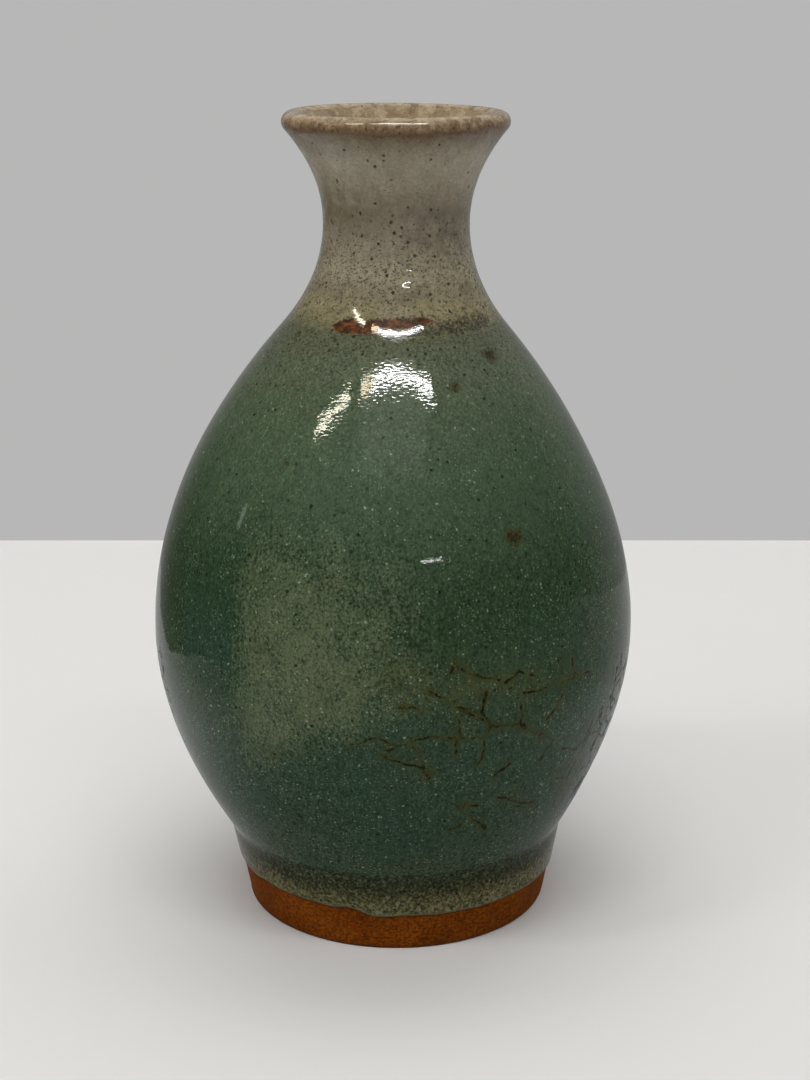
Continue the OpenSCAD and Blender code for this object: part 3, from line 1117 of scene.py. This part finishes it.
def clay_material():
    """Fired iron-rich stoneware: rusty orange, darker specks and short scratches along the turning."""
    g = material_graph("bare_clay")
    cloud = g.noise(0.12, 3.0, 0.6, seed=1)
    colour = g.ramp(cloud, 0, 1, [
        (0.30, (110, 54, 2)),
        (0.50, (122, 61, 3)),
        (0.70, (131, 70, 8)),
    ])
    sand = g.noise(1.8, 3.0, 0.65, seed=2)
    colour = g.shade(colour, g.band(sand, 0.34, 0.66, 0.58, 1.40))
    turning = g.noise(1.0, 3.0, 0.6, stretch=(0.12, 0.12, 2.6), seed=3)
    scratch = g.band(turning, 0.60, 0.70)
    colour = g.cover(colour, scratch, 0.5, (66, 32, 8))
    grit = g.band(g.noise(1.4, 2.0, 0.6, stretch=(1, 1, 1.6), seed=28), 0.57, 0.65)
    colour = g.cover(colour, grit, 0.6, (54, 28, 10))
    dark = g.specks(1.1, 0.24, 0.45, seed=14, warp=0.3)
    colour = g.cover(colour, dark, 0.7, (50, 26, 12))
    # Darker on the clay just under the glaze's hem
    dark_under_hem = g.band(g.mark("above_hem"), -0.7, -0.05)
    colour = g.cover(colour, dark_under_hem, 0.6, (62, 34, 16))
    # Painted shade: darker along the bottom edge of the foot, where it turns under
    painted_base_shade = g.band(g.height(), 0.25, 1.1, 1.0, 0.0)
    colour = g.cover(colour, painted_base_shade, 0.45, (70, 44, 24))
    normal = g.bump(sand, 0.10)
    normal = g.bump(turning, 0.07, under=normal)
    roughness = g.band(sand, 0.3, 0.7, 0.62, 0.78)
    return g.finish(colour, roughness, normal, shine=0.06)


# -------- stage, lights and camera


def make_sheet(name, corners, material):
    """A flat stage sheet through the given corners, in metres."""
    mesh = bpy.data.meshes.new(name)
    mesh.from_pydata(corners, [], [list(range(len(corners)))])
    mesh.materials.append(material)
    sheet = put(name, mesh)
    return sheet


def make_stage():
    """A plain pale table that ends behind the bottle, and beside it what the glaze reflects of it."""
    far = 0.235
    material = material_graph("table").finish([0.80, 0.79, 0.775, 1], 0.6, shine=0.2)
    table = make_sheet("table", [(-2, -2, 0), (2, -2, 0), (2, far, 0), (-2, far, 0)], material)
    table.visible_glossy = False
    up = 0.0002
    seen = [
        (2, -2, up), (2, far, up), (-0.16, far, up), (-0.155, 0.091, up),
        (-0.222, 0.018, up), (-0.271, -0.111, up), (-0.36, -0.5, up), (-0.5, -2, up),
    ]
    card = make_sheet("reflected_table", seen, reflected_table_material())
    card.visible_camera = False
    card.visible_diffuse = False
    card.visible_shadow = False


def reflected_table_material():
    """The table as the glaze reflects it: dark in front, in the camera's own shade, and round the foot."""
    g = material_graph("reflected_table")
    x, y, _ = g.node("SeparateXYZ", {0: g.mm}).outputs
    reach = g.math("SQRT", g.plus(g.times(x, x), g.times(y, y)))
    forward = g.math("DIVIDE", g.times(y, -1.0), reach)
    side = g.band(g.plus(forward, g.band(reach, 90, 180, 0.0, 0.5)), -0.3, 1.0, 1.0, 0.12)
    near = g.band(reach, 45, 95, 0.28, 0.45)
    near = g.times(near, g.math("SUBTRACT", 0.93, g.times(g.math("DIVIDE", x, reach), 0.1)))
    values = {"Color": [1.0, 0.99, 0.97, 1], "Strength": g.times(side, near)}
    return g.end(g.node("Emission", values).outputs[0])


def make_world():
    """Soft light from all round, a plain backdrop, and a room for the glaze to reflect: pale behind and to
    the right, dark and brownish on the left, dark in front."""
    g = Graph(bpy.data.worlds.new("studio"))

    def light(colour, strength):
        return g.node("Background", {"Color": colour, "Strength": strength}).outputs[0]

    def choose(share, a, b):
        return g.node("MixShader", {0: share, 1: a, 2: b}).outputs[0]

    place = g.node("TexCoord").outputs["Generated"]
    x, y, z = g.node("SeparateXYZ", {0: place}).outputs
    above = g.band(z, 0.15, 0.75, 0.0, 0.14)
    pale = light([1, 0.99, 0.97, 1], g.plus(g.band(y, 0.05, 0.70, 0.03, 0.25), above))
    brown = light([1, 0.74, 0.50, 1], g.plus(g.band(y, 0.05, 0.70, 0.005, 0.035), above))
    room = choose(g.band(x, -0.85, -0.30), brown, pale)
    dome = g.plus(g.band(x, -1.0, 1.0, 0.23, 0.25), g.band(z, -0.2, 0.6, 0.0, 0.05))
    rays = g.node("LightPath").outputs
    lit = choose(rays["Is Glossy Ray"], light([1, 0.99, 0.97, 1], dome), room)
    both = choose(rays["Is Camera Ray"], lit, light(tone(184, 183, 183), 1.0))
    bpy.context.scene.world = g.end(both, "OutputWorld")


def make_strip(name, centre, size, radiance, target=None, colour=(1, 1, 1)):
    """A rectangular light facing down, or towards a target, in metres. Radiance 1 shows as white."""
    light = bpy.data.lights.new(name, "AREA")
    light.shape = "RECTANGLE"
    light.size, light.size_y = size
    light.energy = radiance * math.pi * size[0] * size[1]
    light.color = colour
    lamp = put(name, light)
    lamp.location = centre
    if target is not None:
        way = Vector(target) - Vector(centre)
        lamp.rotation_euler = way.to_track_quat("-Z", "Y").to_euler()
    return lamp


def make_glow(name, centre, size, radiance, target=None, colour=(1, 1, 1)):
    """A light that only shows as a reflection in the glaze."""
    lamp = make_strip(name, centre, size, radiance, target, colour)
    lamp.visible_diffuse = False
    return lamp


def make_soft(name, centre, size, radiance, target=None):
    """A light that lights surfaces but isn't reflected in the glaze."""
    lamp = make_strip(name, centre, size, radiance, target)
    lamp.visible_glossy = False
    return lamp


def make_lights():
    """Soft lights for the surfaces. For the glaze to reflect, two rows of ceiling strips in their troughs, a
    ceiling panel and two windows."""
    centre = (0, 0, 0.07)
    make_soft("strip_right_light", (0.08, -0.72, 1.53), (1.185, 0.15), 17)
    make_soft("strip_left_light", (-1.14, -0.70, 1.53), (0.69, 0.18), 12)
    make_soft("ceiling_light", (0.1, 0.50, 1.56), (1.8, 1.0), 1.9)
    make_soft("fill_left", (-1.4, -0.75, 1.25), (1.4, 1.4), 0.8, centre)
    make_soft("fill_right", (1.5, -0.40, 1.15), (1.0, 1.0), 0.4, centre)
    make_glow("strip_right", (0.165, -0.705, 1.5), (1.015, 0.056), 50)
    make_glow("strip_right_end", (-0.43, -0.705, 1.5), (0.165, 0.07), 17, colour=(1.0, 0.76, 0.40))
    make_glow("strip_left", (-1.01, -0.69, 1.5), (0.59, 0.06), 24, colour=(1.0, 0.93, 0.72))
    make_glow("trough_right", (0.08, -0.705, 1.506), (1.19, 0.14), 5)
    make_glow("trough_left", (-1.01, -0.69, 1.506), (0.61, 0.15), 4, colour=(1.0, 0.97, 0.86))
    make_glow("ceiling_panel", (0.04, -1.13, 1.5), (1.1, 0.68), 0.45)
    make_glow("window_left", (-1.94, -0.10, 0.68), (0.08, 0.20), 1.3, centre)
    make_glow("window_front", (0.66, -1.75, 0.86), (0.36, 0.018), 18, centre)


def make_camera():
    """A camera at the photograph's angle: a little above the bottle and looking down."""
    data = bpy.data.cameras.new("camera")
    data.lens = 64.1
    data.sensor_width = 36
    data.clip_start = 0.01
    camera = put("camera", data)
    camera.location = (0.0019, -0.3486, 0.1747)
    looking_down = 16.656
    camera.rotation_euler = (math.radians(90 - looking_down), 0, 0)
    bpy.context.scene.camera = camera


# -------- the bottle


def assemble():
    """Makes every piece and gives it its material."""
    clay = clay_material()
    dressed = [
        (make_turned_foot(), clay),
        (make_wall("belly_wall", 15, 54.5, 18.85), clay),
        (make_wall("shoulder_wall", 54.5, 111.5, 54.5), clay),
        (make_wall("neck_wall", 111.5, 134, 111.5), clay),
        (make_mouth_wall(), clay),
        (make_foot_glaze(), foot_glaze_material()),
        (make_body_glaze(), body_material()),
        (make_iron_band(), iron_material()),
        (make_neck_glaze(), neck_material()),
        (make_lip_glaze(), lip_material()),
        (make_inner_glaze(), liner_material()),
    ]
    for piece, material in dressed:
        piece.data.materials.append(material)


bpy.context.scene.view_settings.view_transform = "Standard"
bpy.context.scene.view_settings.look = "None"
make_camera()
make_world()
make_lights()
make_stage()
assemble()

bpy.context.view_layer.update()
